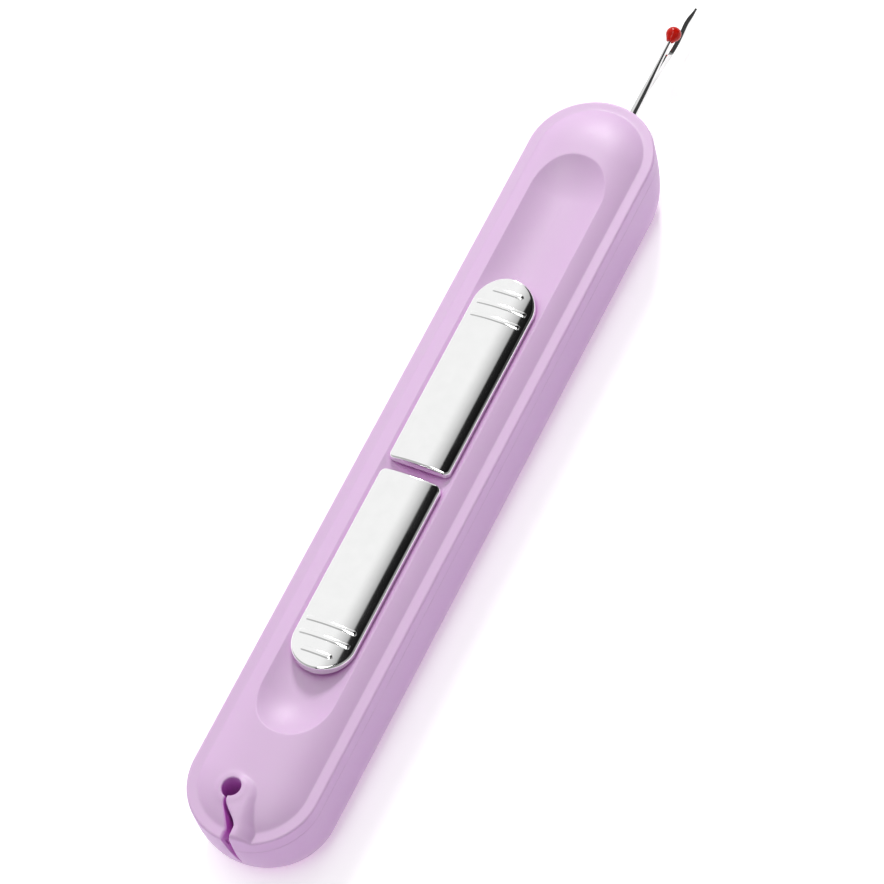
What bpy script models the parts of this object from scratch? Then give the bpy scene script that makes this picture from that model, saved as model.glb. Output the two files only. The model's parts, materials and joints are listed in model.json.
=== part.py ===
"""Needle threader with a retractable seam ripper.

The tool lies on its flat back with its face up.  +X runs along the body to the seam ripper's end and +Z is
up.  The origin is the middle of the flat back.  Lengths below are in millimetres, and MM turns them into
metres.  Heights are given from the ledge, the flat band that runs round the face, and LEDGE_HEIGHT lifts
them to the height above the back.

Two thumb plates slide in a channel in the face.  The upper plate's carriage carries a rack.  That rack turns
the small gear of a stepped pinion, and the large gear pulls the ripper's own rack the other way.  So the
ripper goes in as the plate goes out, a third further than the plate.  The lower plate's carriage pushes a
threader hook through the needle well, and a spring brings it back.
"""

import math

import bmesh
import bpy
from mathutils import Matrix, Vector

MM = 0.001

# Body
LEDGE_HEIGHT = 13.0
HALF_WIDTH = 10.0
HALF_LENGTH = 65.8
WALL = 1.4
PARTING = -2.55
PARTING_GAP = 0.1
LIP_OUT = 9.2
LIP_TOP = -1.75
LIP_GAP = 0.15
EDGE_ROUND = 0.35
SIDE_ROUND_START = 7.5
SIDE_INSET = 1.9
END_INSET = 4.0
ARC_STEPS = 20

# Face: ledge, crown and thumb channel
CROWN_RADIUS = 8.3
CROWN_HEIGHT = 1.85
CROWN_POWER = 2.7
CEILING = -1.65
CHANNEL_HALF = 5.82
CHANNEL_EDGE = 1.15
CHANNEL_DEPTH = 1.42
CHANNEL_ENDS = (-47.3, 53.4)

# Needle well, boss and thread slit
WELL_X = -58.6
WELL_Y = 2.0
WELL_RADIUS = 1.5
WELL_WALL = 1.1
WELL_FLOOR = -9.2
WELL_FOOT = -10.3
BOSS_TOP = 1.75
BOSS_RADIUS = 2.7
BOSS_FOOT_GROWTH = 1.3
SLIT_BOTTOM = -7.4
SLIT_START_Y = 2.0
SLIT_END_Y = -0.55
SLIT_HALF_WIDTHS = (0.3, 0.5)

# Thumb plates
PLATE_LENGTH = 33.5
PLATE_HALF = 4.96
PLATE_TOP = 2.57
PLATE_SAG = 0.7
PLATE_BOTTOM = 0.92
PLATE_CORNER = 0.9
PLATE_EDGE = 0.35
PLATE_POCKET = (3.4, 1.6)
UPPER_PLATE_INNER = -2.6
LOWER_PLATE_INNER = -4.5
RIB_HALF_WIDTH = 0.4
RIB_HEIGHT = 0.2
RIBS = ((7.3, 4.12), (5.05, 4.12), (2.55, 2.55))

# Carriages
UPPER_TRAVEL = 21.1
LOWER_TRAVEL = 8.3
NECK_HALF = 1.2
NECK_TOP = 1.3
SLOT_HALF = 1.45
SLOT_PLAY = 0.3
UPPER_NECK = (-1.0, 2.8)
LOWER_NECK = (-24.0, -16.0)
BLOCK_TOP = -1.95
BLOCK_BOTTOM = -3.9

# Racks and stepped pinion
MODULE = 0.5
SMALL_TEETH = 12
LARGE_TEETH = 16
ADDENDUM = 0.4
DEDENDUM = 0.55
BACKLASH = 0.16
PRESSURE_ANGLE = math.radians(20)
SMALL_PITCH_RADIUS = MODULE * SMALL_TEETH / 2
LARGE_PITCH_RADIUS = MODULE * LARGE_TEETH / 2
RACK_PITCH = math.pi * MODULE
PINION_X = 19.2
SMALL_GEAR_HEIGHTS = (-6.45, -4.2)
LARGE_GEAR_HEIGHTS = (-8.4, -6.35)
AXLE_RADIUS = 0.8
BORE_RADIUS = 0.9
RACK_MARGIN = 3.0
SPINE_OUT = 5.4
UPPER_RACK_HEIGHTS = (-6.2, -4.1)
RIPPER_RACK_HEIGHTS = (-8.2, -6.6)

# Ripper's head, where its rack holds the stem
WEB_X = (52.2, 53.9)
HEAD_X = (53.0, 57.3)
HEAD_HALF = 1.75
HEAD_HEIGHTS = (-8.6, -5.9)
HEAD_SHY = 0.05
CROSS_PIN_X = 55.0
CROSS_PIN_RADIUS = 0.35

# Seam ripper: a round stem, and a flat fork whose edges are given as (x, height) points
STEM_HEIGHT = -7.55
STEM_RADIUS = 0.66
STEM_X = (53.0, 79.0)
BLADE_THICKNESS = 0.6
BELLY = ((73.0, -8.1), (77.0, -9.0), (80.0, -9.55), (82.2, -9.9), (84.6, -10.2), (87.4, -10.45))
POINT = ((89.2, -10.5), (90.6, -10.45), (92.2, -10.3), (91.2, -10.05))
LONG_TINE_TOP = ((89.7, -9.6), (88.4, -9.35), (87.4, -9.52), (86.1, -9.7), (84.7, -9.76), (83.4, -9.68))
THROAT = ((82.72, -9.45), (82.3, -9.0), (82.15, -8.5), (82.3, -8.0), (82.72, -7.55), (83.4, -7.32))
SHORT_TINE = ((84.4, -7.2), (84.4, -6.62), (82.5, -6.5), (79.0, -6.78), (76.0, -6.95), (73.0, -7.0))
BALL_X = 84.57
BALL_HEIGHT = -6.9
BALL_RADIUS = 1.2
BALL_SOCKET_HALF = 0.4
BALL_SOCKET_HEIGHTS = (-7.5, -6.35)
EXIT_HALF = 1.45
EXIT_HEIGHTS = (-11.7, -5.3)
EXIT_X = (61.0, 68.0)
GUIDE_X = (58.4, 61.6)
GUIDE_HALF = 3.1
GUIDE_HEIGHTS = (-11.2, -4.4)
GUIDE_CEILING = -5.4

# Detent
DETENT_X = (0.0, 9.0)
DETENT_Y = (5.5, 5.72)
DETENT_HEIGHTS = (-5.9, -4.3)
DETENT_BUMP_X = 5.0
DETENT_BUMP = (0.9, 0.2)
NOTCH_RADIUS = 0.6

# Threader
HOOK_HEIGHT = -6.5
HOOK_WINDOW = (0.8, 0.9)
HOOK_SLOT = 0.9
HOOK_PIN_RADIUS = 0.3
HOOK_GUIDE_X = (-51.4, -47.4)
HOOK_GUIDE_Y = (0.7, 3.1)
HOOK_GUIDE_HEIGHTS = (-10.1, -4.9)
CARRIAGE_Y = (-4.6, 3.6)
LEG_FOOT = -7.9
HOOK_TIP_X = -54.6
HOOK_TAIL_X = -23.0
HOOK_THICKNESS = 0.4
SPRING_Y = -3.0
SPRING_HEIGHT = -6.3
SPRING_RADIUS = 1.6
SPRING_WIRE = 0.2
SPRING_TURNS = 9
SPRING_STOP_X = (-45.4, -43.7)
ROD_RADIUS = 0.6
ROD_X = (-45.0, -19.0)

# Tray and screws
TRAY_FLOOR = (-11.4, -10.4)
TRAY_X = (-46.5, 53.0)
TRAY_HALF = 7.0
TRAY_NOSE_X = (-52.0, -46.0)
TRAY_NOSE_HALF = 3.2
TRAY_WALL_TOP = -4.2
RAIL_X = -12.5
RAIL_Y = (-5.6, -3.9)
RAIL_TOP = -8.75
GEAR_POST_RADIUS = 2.2
AXLE_TOP = -3.98
CLIP_HEIGHTS = (-4.12, -4.0)
CLIP_RADIUS = 1.5
SCREWS = ((56.5, 5.4), (56.5, -5.4), (-50.5, 5.6), (-50.5, -5.6))
SCREW_RADIUS = 0.8
SCREW_HEAD_RADIUS = 1.7
SCREW_TOP = -3.4
SCREW_HEAD_HEIGHTS = (-12.9, -11.5)
SCREW_SEAT = -11.3
SCREW_RECESS = (0.7, -12.3)
SCREW_PLAY = 0.25
POST_RADIUS = 2.0
POST_FOOT = -8.0
GAP = 0.3

ROUND = 24

# Colour, roughness and metallic of each material
MATERIALS = {
    "lilac_plastic": ((0.60, 0.42, 0.64), 0.38, 0.0),
    "chrome": ((0.90, 0.90, 0.91), 0.08, 1.0),
    "white_acetal": ((0.86, 0.86, 0.84), 0.45, 0.0),
    "grey_nylon": ((0.35, 0.34, 0.38), 0.5, 0.0),
    "brass": ((0.78, 0.60, 0.30), 0.3, 1.0),
    "polished_steel": ((0.66, 0.66, 0.67), 0.2, 1.0),
    "spring_steel": ((0.45, 0.46, 0.48), 0.3, 1.0),
    "red_gloss": ((0.62, 0.02, 0.01), 0.12, 0.0),
}


# ---------------------------------------------------------------- scene and helpers

def clear_scene():
    for obj in list(bpy.data.objects):
        bpy.data.objects.remove(obj, do_unlink=True)


def new_collection(name):
    collection = bpy.data.collections.new(name)
    bpy.context.scene.collection.children.link(collection)
    return collection


def make_materials():
    made = {}
    for name, (colour, roughness, metallic) in MATERIALS.items():
        material = bpy.data.materials.new(name)
        material.use_nodes = True
        shader = material.node_tree.nodes["Principled BSDF"]
        shader.inputs["Base Color"].default_value = (*colour, 1.0)
        shader.inputs["Roughness"].default_value = roughness
        shader.inputs["Metallic"].default_value = metallic
        material.diffuse_color = (*colour, 1.0)
        made[name] = material
    return made


def place(x, y, z):
    """A point in metres from millimetres, with z counted from the ledge."""
    return Vector((x * MM, y * MM, (z + LEDGE_HEIGHT) * MM))


def object_from(bm, name):
    bmesh.ops.recalc_face_normals(bm, faces=bm.faces)
    mesh = bpy.data.meshes.new(name)
    bm.to_mesh(mesh)
    bm.free()
    obj = bpy.data.objects.new(name, mesh)
    tools.objects.link(obj)
    hide_tool(obj)
    return obj


def hide_tool(obj):
    obj.hide_render = True
    obj.display_type = "WIRE"


def keep(obj, name, material):
    """Moves a finished shape from the cutters to the product's own collection."""
    tools.objects.unlink(obj)
    product.objects.link(obj)
    obj.name = name
    obj.hide_render = False
    obj.display_type = "TEXTURED"
    obj.data.materials.clear()
    obj.data.materials.append(materials[material])
    return obj


def smooth(obj, degrees=35):
    obj.data.shade_smooth()
    obj.data.set_sharp_from_angle(angle=math.radians(degrees))


def box(xs, ys, zs):
    bm = bmesh.new()
    bmesh.ops.create_cube(bm, size=1.0)
    low = place(min(xs), min(ys), min(zs))
    high = place(max(xs), max(ys), max(zs))
    size = high - low
    matrix = Matrix.Translation((low + high) / 2) @ Matrix.Diagonal((*size, 1.0))
    bmesh.ops.transform(bm, matrix=matrix, verts=bm.verts)
    return object_from(bm, "box")


def rod(start, end, radius, sides=ROUND):
    """A cylinder between two points in millimetres."""
    a = place(*start)
    b = place(*end)
    bm = bmesh.new()
    bmesh.ops.create_cone(bm, cap_ends=True, segments=sides, radius1=radius * MM, radius2=radius * MM,
                          depth=(b - a).length)
    turn = Vector((0, 0, 1)).rotation_difference(b - a).to_matrix().to_4x4()
    bmesh.ops.transform(bm, matrix=Matrix.Translation((a + b) / 2) @ turn, verts=bm.verts)
    return object_from(bm, "rod")


def ball(centre, radius):
    bm = bmesh.new()
    bmesh.ops.create_uvsphere(bm, u_segments=28, v_segments=16, radius=radius * MM)
    bmesh.ops.translate(bm, vec=place(*centre), verts=bm.verts)
    return object_from(bm, "ball")


def extruded(points, matrix, thickness):
    """A flat outline, drawn as one face and extruded both ways from its plane."""
    bm = bmesh.new()
    face = bm.faces.new([bm.verts.new((u * MM, v * MM, -thickness / 2 * MM)) for u, v in points])
    grown = bmesh.ops.extrude_face_region(bm, geom=[face])
    raised = [item for item in grown["geom"] if isinstance(item, bmesh.types.BMVert)]
    bmesh.ops.translate(bm, vec=(0, 0, thickness * MM), verts=raised)
    bmesh.ops.transform(bm, matrix=matrix, verts=bm.verts)
    return object_from(bm, "extruded")


def lying(points, bottom, top):
    """An outline in the XY plane, extruded from bottom to top."""
    return extruded(points, Matrix.Translation(place(0, 0, (bottom + top) / 2)), top - bottom)


def standing(points, y, thickness):
    """An outline of (x, height) points in the XZ plane, thickness wide about y."""
    turn = Matrix.Rotation(math.pi / 2, 4, "X")
    return extruded(points, Matrix.Translation(place(0, y, 0)) @ turn, thickness)


def boolean(target, tool, operation):
    modifier = target.modifiers.new(operation.title(), "BOOLEAN")
    modifier.operation = operation
    modifier.solver = "EXACT"
    modifier.object = tool


def cut(target, *cutters):
    for cutter in cutters:
        boolean(target, cutter, "DIFFERENCE")


def join(target, *others):
    for other in others:
        boolean(target, other, "UNION")


def keep_inside(target, limit):
    boolean(target, limit, "INTERSECT")


# ---------------------------------------------------------------- lofts of nested stadium rings

def stadium(half_width, low_end, high_end, z):
    """A ring with straight sides and half-round ends, as points in metres."""
    ring = []
    for centre_x, first in ((high_end - half_width, -math.pi / 2), (low_end + half_width, math.pi / 2)):
        for step in range(ARC_STEPS + 1):
            angle = first + math.pi * step / ARC_STEPS
            ring.append(place(centre_x + half_width * math.cos(angle), half_width * math.sin(angle), z))
    return ring


def loft(rings):
    """A closed solid through rings of the same number of points, capped at both ends."""
    bm = bmesh.new()
    rows = [[bm.verts.new(point) for point in ring] for ring in rings]
    count = len(rows[0])
    for lower, upper in zip(rows, rows[1:]):
        for i in range(count):
            j = (i + 1) % count
            bm.faces.new((lower[i], lower[j], upper[j], upper[i]))
    bm.faces.new(list(reversed(rows[0])))
    bm.faces.new(rows[-1])
    return object_from(bm, "loft")


def end_ring(half_width, reach, z):
    return stadium(half_width, -reach, reach, z)


def inset_at(depth):
    """How far the side wall and the end wall have turned in, this far below the ledge."""
    side = 0.0
    if depth > SIDE_ROUND_START:
        turned = (depth - SIDE_ROUND_START) / (LEDGE_HEIGHT - SIDE_ROUND_START)
        side = SIDE_INSET * (1 - math.sqrt(max(0.0, 1 - turned * turned)))
    turned = max(0.0, (depth + PARTING) / (LEDGE_HEIGHT + PARTING))
    end = END_INSET * (1 - math.sqrt(max(0.0, 1 - turned * turned)))
    return side, end


def crown_height(radius):
    return CROWN_HEIGHT * (1 - (radius / CROWN_RADIUS) ** CROWN_POWER)


def front_outer_rings(bottom):
    rings = [end_ring(HALF_WIDTH, HALF_LENGTH, bottom)]
    for step in range(4):
        angle = math.pi / 2 * step / 3
        inset = EDGE_ROUND * (1 - math.cos(angle))
        height = -EDGE_ROUND * (1 - math.sin(angle))
        rings.append(end_ring(HALF_WIDTH - inset, HALF_LENGTH - inset, height))
    spine_end = HALF_LENGTH - HALF_WIDTH
    rings.append(end_ring(CROWN_RADIUS + 0.15, spine_end + CROWN_RADIUS + 0.15, 0.0))
    for radius in (8.2, 7.8, 7.2, 6.5, 5.82, 5.0, 4.0, 3.0, 2.0, 1.0):
        rings.append(end_ring(radius, spine_end + radius, crown_height(radius)))
    return rings


def channel_cutter():
    """The thumb channel: a shallow dish of nested rings, open at the top."""
    low, high = CHANNEL_ENDS
    rings = []
    for radius in (0.8, 2.0, 3.2, 4.4, 5.2, CHANNEL_HALF, 8.6):
        z = CHANNEL_EDGE - CHANNEL_DEPTH * (1 - (radius / CHANNEL_HALF) ** 2)
        grow = CHANNEL_HALF - radius
        rings.append(stadium(radius, low + grow, high - grow, z))
    return loft(rings)


# ---------------------------------------------------------------- outlines

def smoothstep(value):
    value = min(1.0, max(0.0, value))
    return value * value * (3 - 2 * value)


def slit_outline():
    """The wavy slit, from inside the well to past the end wall, in plan."""
    left = []
    right = []
    for step in range(15):
        along = step / 14
        x = WELL_X - 0.6 - along * 9.0
        y = SLIT_START_Y + (SLIT_END_Y - SLIT_START_Y) * smoothstep((-60.6 - x) / 3.4)
        widen = smoothstep((-61.5 - x) / 3.0)
        half = SLIT_HALF_WIDTHS[0] + (SLIT_HALF_WIDTHS[1] - SLIT_HALF_WIDTHS[0]) * widen
        left.append((x, y + half))
        right.append((x, y - half))
    return left + right[::-1]


def boss_outline(grow):
    """The raised boss round the well and slit: an arc about the well, run out past the end wall."""
    radius = BOSS_RADIUS + grow
    points = []
    for step in range(13):
        angle = math.radians(90 - 150 * step / 12)
        points.append((WELL_X + radius * math.cos(angle), WELL_Y + radius * math.sin(angle)))
    points.append((WELL_X - 4.6, -2.3 - grow))
    points.append((WELL_X - 9.0, -2.5 - grow))
    points.append((WELL_X - 9.0, 1.4 + grow))
    points.append((WELL_X - 4.0, 3.4 + grow))
    return points


def boss_solid():
    top = [place(x, y, BOSS_TOP) for x, y in boss_outline(0.0)]
    foot = [place(x, y, -0.5) for x, y in boss_outline(BOSS_FOOT_GROWTH)]
    return loft([foot, top])


def involute(angle):
    return math.tan(angle) - angle


def gear_outline(teeth, first_angle):
    """Involute teeth about the pinion's axis, with a tooth centred on first_angle."""
    pitch_radius = MODULE * teeth / 2
    base = pitch_radius * math.cos(PRESSURE_ANGLE)
    pitch_half = (RACK_PITCH / 2 - BACKLASH) / 2 / pitch_radius
    radii = (pitch_radius - DEDENDUM, base, pitch_radius, pitch_radius + ADDENDUM)
    flank = []
    for radius in radii:
        roll = math.acos(min(1.0, base / radius)) if radius > base else 0.0
        flank.append((radius, pitch_half + involute(PRESSURE_ANGLE) - involute(roll)))
    turns = [(radius, -half) for radius, half in flank] + flank[::-1]
    points = []
    for tooth in range(teeth):
        centre = first_angle + 2 * math.pi * tooth / teeth
        for radius, turn in turns:
            angle = centre + turn
            points.append((PINION_X + radius * math.cos(angle), radius * math.sin(angle)))
    return points


def rack_outline(start, end, side, pitch_radius):
    """A rack's outline in plan, with its teeth towards the pinion.

    side is +1 or -1, and the middle of a gap lies beside the pinion's axis.
    """
    slope = math.tan(PRESSURE_ANGLE)
    tip = pitch_radius - ADDENDUM
    root = pitch_radius + DEDENDUM
    half_pitch_line = (RACK_PITCH / 2 - BACKLASH) / 2
    half_tip = half_pitch_line - ADDENDUM * slope
    half_root = half_pitch_line + DEDENDUM * slope
    back = SPINE_OUT - 0.1
    points = [(start, back), (start, root)]
    phase = PINION_X + RACK_PITCH / 2
    first = math.ceil((start + half_root - phase) / RACK_PITCH)
    last = math.floor((end - half_root - phase) / RACK_PITCH)
    for index in range(first, last + 1):
        centre = phase + index * RACK_PITCH
        points += [(centre - half_root, root), (centre - half_tip, tip),
                   (centre + half_tip, tip), (centre + half_root, root)]
    points += [(end, root), (end, back)]
    return [(x, side * y) for x, y in points]


# ---------------------------------------------------------------- shells

def slot_cutter(neck, shift):
    """The slot in the channel's floor that a carriage's neck runs in."""
    low = min(neck[0], neck[0] + shift) - SLOT_PLAY
    high = max(neck[1], neck[1] + shift) + SLOT_PLAY
    return box((low, high), (-SLOT_HALF, SLOT_HALF), (CEILING - 1, 4))


def well_cutter():
    return rod((WELL_X, WELL_Y, WELL_FLOOR), (WELL_X, WELL_Y, 5), WELL_RADIUS)


def hook_window():
    half, half_height = HOOK_WINDOW
    ys = (WELL_Y - half, WELL_Y + half)
    return box((WELL_X - 5, WELL_X + 5), ys, (HOOK_HEIGHT - half_height, HOOK_HEIGHT + half_height))


def slit_cutter():
    return lying(slit_outline(), SLIT_BOTTOM, 5)


def front_shell():
    bottom = PARTING + PARTING_GAP / 2
    shell = loft(front_outer_rings(bottom))
    outline = loft([end_ring(HALF_WIDTH, HALF_LENGTH, -2), end_ring(HALF_WIDTH, HALF_LENGTH, 4)])
    boss = boss_solid()
    keep_inside(boss, outline)
    join(shell, boss)
    inner = HALF_WIDTH - WALL
    reach = HALF_LENGTH - WALL
    lip = LIP_OUT + LIP_GAP
    lip_reach = lip + HALF_LENGTH - HALF_WIDTH
    cavity = loft([end_ring(inner, reach, -5), end_ring(inner, reach, CEILING)])
    lip_room = loft([end_ring(lip, lip_reach, -5), end_ring(lip, lip_reach, LIP_TOP + LIP_GAP)])
    cut(shell, channel_cutter(), cavity, lip_room)
    join(shell, rod((WELL_X, WELL_Y, WELL_FOOT), (WELL_X, WELL_Y, -1), WELL_RADIUS + WELL_WALL))
    for x, y in SCREWS:
        join(shell, rod((x, y, POST_FOOT), (x, y, -1.0), POST_RADIUS, 16))
        cut(shell, rod((x, y, POST_FOOT - 1), (x, y, SCREW_TOP + 0.5), SCREW_RADIUS + SCREW_PLAY, 12))
    cut(shell, slot_cutter(UPPER_NECK, UPPER_TRAVEL), slot_cutter(LOWER_NECK, -LOWER_TRAVEL))
    cut(shell, well_cutter(), slit_cutter(), hook_window())
    smooth(shell)
    return keep(shell, "front_shell", "lilac_plastic")


def rear_rings():
    """The rear shell's outside, from the lip down to the flat back."""
    spine_end = HALF_LENGTH - HALF_WIDTH
    top = PARTING - PARTING_GAP / 2
    rings = [end_ring(LIP_OUT, spine_end + LIP_OUT, LIP_TOP), end_ring(LIP_OUT, spine_end + LIP_OUT, top)]
    for step in range(11):
        depth = -top + (LEDGE_HEIGHT + top) * math.sin(math.pi / 2 * step / 10)
        side, end = inset_at(depth)
        rings.append(end_ring(HALF_WIDTH - side, HALF_LENGTH - end, -depth))
    return rings


def rear_cavity():
    rings = [end_ring(HALF_WIDTH - WALL, HALF_LENGTH - WALL, 0.0)]
    floor = LEDGE_HEIGHT - WALL
    for step in range(7):
        depth = -PARTING + (floor + PARTING) * math.sin(math.pi / 2 * step / 6)
        side, end = inset_at(depth)
        rings.append(end_ring(HALF_WIDTH - WALL - side, HALF_LENGTH - WALL - end, -depth))
    return loft(rings)


def exit_slot():
    """The upright slot with round ends that the ripper comes out of."""
    low, high = EXIT_HEIGHTS
    start, end = EXIT_X
    slot = box(EXIT_X, (-EXIT_HALF, EXIT_HALF), (low + EXIT_HALF, high - EXIT_HALF))
    for height in (low + EXIT_HALF, high - EXIT_HALF):
        join(slot, rod((start - 0.1, 0, height), (end + 0.1, 0, height), EXIT_HALF, 20))
    return slot


def rear_shell():
    shell = loft(rear_rings())
    cut(shell, rear_cavity())
    for x, y in SCREWS:
        join(shell, rod((x, y, -12.4), (x, y, POST_FOOT - 0.2), POST_RADIUS + 0.1, 16))
        cut(shell, rod((x, y, -14), (x, y, POST_FOOT + 1), SCREW_RADIUS + SCREW_PLAY, 12))
        cut(shell, rod((x, y, -14), (x, y, SCREW_SEAT), SCREW_HEAD_RADIUS + 0.2, 20))
    cut(shell, exit_slot(), slit_cutter())
    smooth(shell)
    return keep(shell, "rear_shell", "lilac_plastic")


# ---------------------------------------------------------------- thumb plates

def plate_ring(inset, drop, inner, outward, flat_height=None):
    """One ring of a plate: small corners at the inner end, half-round at the outer end.

    The ring lies on the plate's cylindrical top, lowered by drop, or flat at flat_height.
    """
    half = PLATE_HALF - inset
    corner = max(0.05, PLATE_CORNER - inset)
    outer_centre = PLATE_LENGTH - PLATE_HALF
    points = []
    for step in range(17):
        angle = math.radians(-90 + 180 * step / 16)
        points.append((outer_centre + half * math.cos(angle), half * math.sin(angle)))
    for step in range(4):
        angle = math.radians(90 + 30 * step)
        points.append((inset + corner * (1 + math.cos(angle)), half - corner + corner * math.sin(angle)))
    for step in range(1, 8):
        points.append((inset, (half - corner) * (1 - step / 4)))
    for step in range(4):
        angle = math.radians(180 + 30 * step)
        points.append((inset + corner * (1 + math.cos(angle)), corner - half + corner * math.sin(angle)))
    ring = []
    for x, y in points:
        crown = PLATE_TOP - PLATE_SAG * (y / PLATE_HALF) ** 2
        height = crown - drop if flat_height is None else flat_height
        ring.append(place(inner + outward * x, y, height))
    return ring


def thumb_plate(name, inner, outward):
    rings = [plate_ring(0.0, 0.0, inner, outward, PLATE_BOTTOM)]
    for step in range(4):
        angle = math.pi / 2 * step / 3
        inset = PLATE_EDGE * (1 - math.cos(angle))
        rings.append(plate_ring(inset, PLATE_EDGE * (1 - math.sin(angle)), inner, outward))
    for inset in (1.1, 2.0, 2.9, 3.8, 4.6):
        rings.append(plate_ring(inset, 0.0, inner, outward))
    plate = loft(rings)
    half, ceiling = PLATE_POCKET
    pocket = sorted((inner + outward * 1.2, inner + outward * (PLATE_LENGTH - 4.5)))
    cut(plate, box(pocket, (-half, half), (PLATE_BOTTOM - 1, ceiling)))
    crown_radius = (PLATE_HALF ** 2 + PLATE_SAG ** 2) / (2 * PLATE_SAG)
    for offset, half_length in RIBS:
        x = inner + outward * (PLATE_LENGTH - offset)
        join(plate, thumb_rib(x, half_length, crown_radius))
    smooth(plate)
    return keep(plate, name, "chrome")


def thumb_rib(x, half_length, crown):
    """A grip rib: a slice of a cylinder a little wider than the plate's crown."""
    xs = (x - RIB_HALF_WIDTH, x + RIB_HALF_WIDTH)
    rib = box(xs, (-half_length, half_length), (PLATE_TOP - PLATE_SAG - 0.4, PLATE_TOP + 1))
    axis_height = PLATE_TOP - crown
    keep_inside(rib, rod((xs[0] - 1, 0, axis_height), (xs[1] + 1, 0, axis_height), crown + RIB_HEIGHT, 120))
    return rib


# ---------------------------------------------------------------- upper carriage and the ripper's drive

def upper_slider():
    low, high = UPPER_NECK
    block = box((low - 0.2, low + 11), (-3.5, SPINE_OUT), (BLOCK_BOTTOM, BLOCK_TOP))
    neck = box((low, high), (-NECK_HALF, NECK_HALF), (BLOCK_TOP - 0.5, NECK_TOP))
    bottom, top = UPPER_RACK_HEIGHTS
    rack_start = PINION_X - UPPER_TRAVEL - RACK_MARGIN
    rack_end = PINION_X + RACK_MARGIN
    rack = lying(rack_outline(rack_start, rack_end, 1, SMALL_PITCH_RADIUS), bottom, top)
    root = SMALL_PITCH_RADIUS + DEDENDUM
    spine = box((rack_start + 0.1, rack_end - 0.1), (root + 0.2, SPINE_OUT - 0.2),
                (bottom + 0.1, BLOCK_BOTTOM + 0.3))
    join(block, neck, rack, spine)
    return keep(block, "upper_slider", "white_acetal")


def detent_spring():
    """A leaf on the carriage's spine, with a bump that drops into a notch in the tray's wall."""
    start, end = DETENT_X
    inner, outer = DETENT_Y
    half_length, height = DETENT_BUMP
    points = [(start, inner), (start, outer)]
    for step in range(7):
        angle = math.pi * (1 - step / 6)
        points.append((DETENT_BUMP_X + half_length * math.cos(angle), outer + height * math.sin(angle)))
    points += [(end, outer), (end, inner)]
    leaf = lying(points, *DETENT_HEIGHTS)
    return keep(leaf, "detent_spring", "spring_steel")


def reversing_pinion():
    """Two gears in one piece: a tooth of each points straight at its own rack."""
    gear = lying(gear_outline(LARGE_TEETH, -math.pi / 2), *LARGE_GEAR_HEIGHTS)
    join(gear, lying(gear_outline(SMALL_TEETH, math.pi / 2), *SMALL_GEAR_HEIGHTS))
    cut(gear, rod((PINION_X, 0, -9), (PINION_X, 0, -3), BORE_RADIUS))
    gear.data.transform(Matrix.Translation(-place(PINION_X, 0, 0)))
    gear.location = place(PINION_X, 0, 0)
    return keep(gear, "reversing_pinion", "brass")


def pinion_axle():
    pin = rod((PINION_X, 0, TRAY_FLOOR[0] + 0.4), (PINION_X, 0, AXLE_TOP), AXLE_RADIUS)
    smooth(pin)
    return keep(pin, "pinion_axle", "polished_steel")


def ripper_rack():
    bottom, top = RIPPER_RACK_HEIGHTS
    start = PINION_X - RACK_MARGIN
    bar = lying(rack_outline(start, WEB_X[1], -1, LARGE_PITCH_RADIUS), bottom, top)
    web = box(WEB_X, (-SPINE_OUT, HEAD_HALF + HEAD_SHY), HEAD_HEIGHTS)
    head = box(HEAD_X, (-HEAD_HALF, HEAD_HALF), (HEAD_HEIGHTS[0] + HEAD_SHY, HEAD_HEIGHTS[1] - HEAD_SHY))
    join(bar, web, head)
    cut(bar, rod((STEM_X[0] - 0.2, 0, STEM_HEIGHT), (60, 0, STEM_HEIGHT), STEM_RADIUS + 0.1, 16))
    cut(bar, cross_pin_hole())
    return keep(bar, "ripper_rack", "white_acetal")


def cross_pin_hole():
    """The upright hole through the head and the stem."""
    return rod((CROSS_PIN_X, 0, -9), (CROSS_PIN_X, 0, -5), CROSS_PIN_RADIUS + 0.1, 12)


def ripper_cross_pin():
    low, high = HEAD_HEIGHTS
    pin = rod((CROSS_PIN_X, 0, low), (CROSS_PIN_X, 0, high), CROSS_PIN_RADIUS, 12)
    return keep(pin, "ripper_cross_pin", "polished_steel")


def ripper_blade():
    """The round stem joined to the fork: the ball's short tine above, the long pointed tine below."""
    blade = standing(BELLY + POINT + LONG_TINE_TOP + THROAT + SHORT_TINE, 0, BLADE_THICKNESS)
    start, end = STEM_X
    join(blade, rod((start, 0, STEM_HEIGHT), (end, 0, STEM_HEIGHT), STEM_RADIUS, 20))
    cut(blade, cross_pin_hole())
    smooth(blade)
    return keep(blade, "ripper_blade", "polished_steel")


def ripper_ball():
    bead = ball((BALL_X, 0, BALL_HEIGHT), BALL_RADIUS)
    cut(bead, box((BALL_X - 4, BALL_X + 0.1), (-BALL_SOCKET_HALF, BALL_SOCKET_HALF), BALL_SOCKET_HEIGHTS))
    smooth(bead)
    return keep(bead, "ripper_ball", "red_gloss")


def ripper_guide():
    """An arch over the ripper's way out, open at its foot for the blade's belly."""
    guide = box(GUIDE_X, (-GUIDE_HALF, GUIDE_HALF), GUIDE_HEIGHTS)
    start, end = GUIDE_X
    cut(guide, box((start - 1, end + 1), (-EXIT_HALF, EXIT_HALF), (GUIDE_HEIGHTS[0] - 1, GUIDE_CEILING)))
    return keep(guide, "ripper_guide", "white_acetal")


# ---------------------------------------------------------------- lower carriage and the threader

def lengthways_rod(start, end, radius):
    """A cylinder on the return spring's axis."""
    return rod((start, SPRING_Y, SPRING_HEIGHT), (end, SPRING_Y, SPRING_HEIGHT), radius, 16)


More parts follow.
